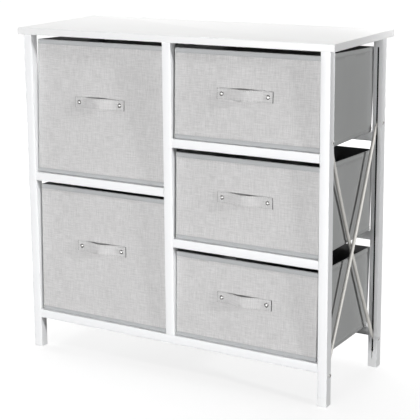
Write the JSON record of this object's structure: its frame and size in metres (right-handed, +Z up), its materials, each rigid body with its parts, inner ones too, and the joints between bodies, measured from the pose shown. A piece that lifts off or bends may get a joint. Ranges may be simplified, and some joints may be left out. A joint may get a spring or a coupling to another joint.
{
  "type": "fabric drawer dresser",
  "caption": "White steel frame dresser with a flat board top, tall and short grey fabric drawers with riveted strap handles, and crossed brace rods at the ends.",
  "frame": {"origin": "on the floor under the middle of the object's bounding box", "axes": "+X to the right as seen from the front, the drawer fronts face -Y, +Z up"},
  "size_m": [0.8, 0.312, 0.775],
  "materials": {
    "white_board": "smooth white laminate",
    "white_steel": "satin white powder coat",
    "white_plastic": "matte white moulded plastic",
    "bright_steel": "bright plated rod",
    "rivet_steel": "polished rivet",
    "grey_fabric": "light grey linen weave front, smooth grey sides, black lining",
    "black_board": "black cloth-covered fibreboard"
  },
  "bodies": {
    "frame": {"top_board": "white_board", "post_front_left": "white_steel", "post_front_right": "white_steel", "post_rear_left": "white_steel", "post_rear_right": "white_steel", "post_front_middle": "white_steel", "post_rear_middle": "white_steel", "foot_front_left": "white_plastic", "foot_front_right": "white_plastic", "foot_rear_left": "white_plastic", "foot_rear_right": "white_plastic", "rail_front_bottom": "white_steel", "rail_front_left_middle": "white_steel", "rail_front_right_upper": "white_steel", "rail_front_right_lower": "white_steel", "rail_rear_bottom": "white_steel", "rail_rear_left_middle": "white_steel", "rail_rear_right_upper": "white_steel", "rail_rear_right_lower": "white_steel", "brace_rod_left_inner": "bright_steel", "brace_rod_left_outer": "bright_steel", "brace_rod_right_inner": "bright_steel", "brace_rod_right_outer": "bright_steel", "brace_bolt_front_left_top": "bright_steel", "brace_bolt_front_left_low": "bright_steel", "brace_bolt_front_right_top": "bright_steel", "brace_bolt_front_right_low": "bright_steel", "brace_bolt_rear_left_top": "bright_steel", "brace_bolt_rear_left_low": "bright_steel", "brace_bolt_rear_right_top": "bright_steel", "brace_bolt_rear_right_low": "bright_steel"},
    "drawer_upper_left": {"drawer_upper_left_shell": "grey_fabric", "drawer_upper_left_base_board": "black_board", "drawer_upper_left_strap": "grey_fabric", "drawer_upper_left_rivet_left": "rivet_steel", "drawer_upper_left_rivet_right": "rivet_steel"},
    "drawer_lower_left": {"drawer_lower_left_shell": "grey_fabric", "drawer_lower_left_base_board": "black_board", "drawer_lower_left_strap": "grey_fabric", "drawer_lower_left_rivet_left": "rivet_steel", "drawer_lower_left_rivet_right": "rivet_steel"},
    "drawer_top_right": {"drawer_top_right_shell": "grey_fabric", "drawer_top_right_base_board": "black_board", "drawer_top_right_strap": "grey_fabric", "drawer_top_right_rivet_left": "rivet_steel", "drawer_top_right_rivet_right": "rivet_steel"},
    "drawer_middle_right": {"drawer_middle_right_shell": "grey_fabric", "drawer_middle_right_base_board": "black_board", "drawer_middle_right_strap": "grey_fabric", "drawer_middle_right_rivet_left": "rivet_steel", "drawer_middle_right_rivet_right": "rivet_steel"},
    "drawer_bottom_right": {"drawer_bottom_right_shell": "grey_fabric", "drawer_bottom_right_base_board": "black_board", "drawer_bottom_right_strap": "grey_fabric", "drawer_bottom_right_rivet_left": "rivet_steel", "drawer_bottom_right_rivet_right": "rivet_steel"}
  },
  "joints": [
    {"name": "drawer_upper_left_slide", "type": "slide", "parent": "frame", "child": "drawer_upper_left", "axis": [0, -1, 0], "range_m": [0, 0.2]},
    {"name": "drawer_lower_left_slide", "type": "slide", "parent": "frame", "child": "drawer_lower_left", "axis": [0, -1, 0], "range_m": [0, 0.2]},
    {"name": "drawer_top_right_slide", "type": "slide", "parent": "frame", "child": "drawer_top_right", "axis": [0, -1, 0], "range_m": [0, 0.2]},
    {"name": "drawer_middle_right_slide", "type": "slide", "parent": "frame", "child": "drawer_middle_right", "axis": [0, -1, 0], "range_m": [0, 0.2]},
    {"name": "drawer_bottom_right_slide", "type": "slide", "parent": "frame", "child": "drawer_bottom_right", "axis": [0, -1, 0], "range_m": [0, 0.2]}
  ]
}
